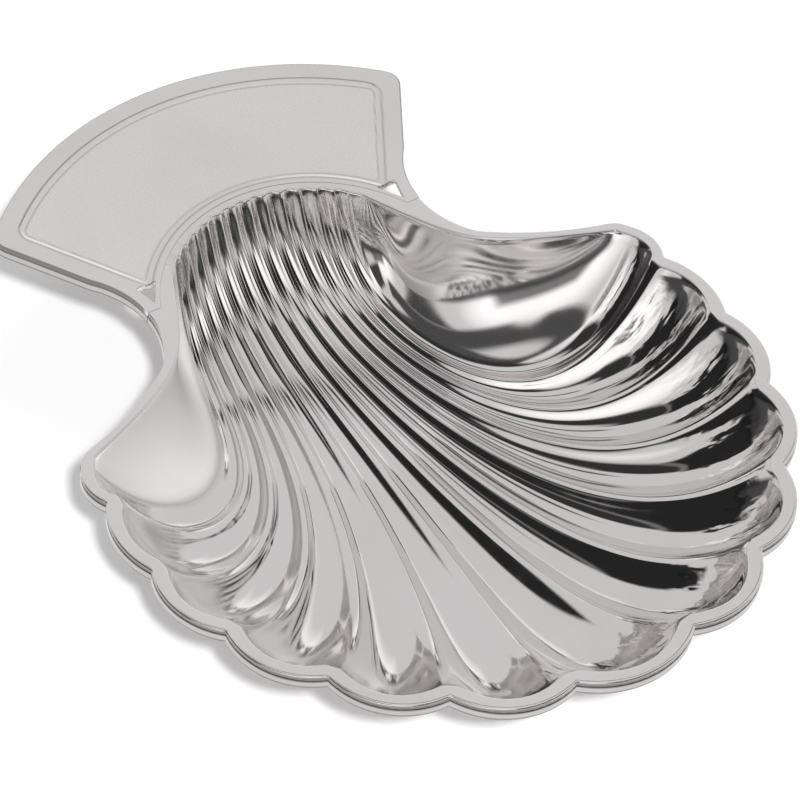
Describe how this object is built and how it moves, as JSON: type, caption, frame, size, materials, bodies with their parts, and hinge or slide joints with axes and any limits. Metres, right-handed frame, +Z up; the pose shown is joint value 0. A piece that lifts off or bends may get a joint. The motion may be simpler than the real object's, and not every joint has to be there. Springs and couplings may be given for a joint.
{
  "type": "baptismal shell",
  "caption": "Pressed metal scallop bowl with fluted hollow, flat lobed rim, fan-shaped handle plate with a recessed field, edge strips and ball feet, for pouring water at a baptism",
  "frame": {"origin": "on the table, under the middle of the object's length and width", "axes": "+X to the right seen from the lip, +Y towards the handle, +Z up; the object is its own mirror image across the YZ plane"},
  "size_m": [0.1168, 0.1494, 0.026],
  "materials": {
    "silver_plate": "polished silver plate, satin on the engraving field",
    "silver_cast": "polished silver plate on cast balls"
  },
  "bodies": {
    "root": {"shell_bowl": "silver_plate", "handle_plate": "silver_plate", "rim_strip": "silver_plate", "handle_strip": "silver_plate", "foot_front_left": "silver_cast", "foot_front_right": "silver_cast", "foot_rear_left": "silver_cast", "foot_rear_right": "silver_cast"}
  },
  "joints": []
}
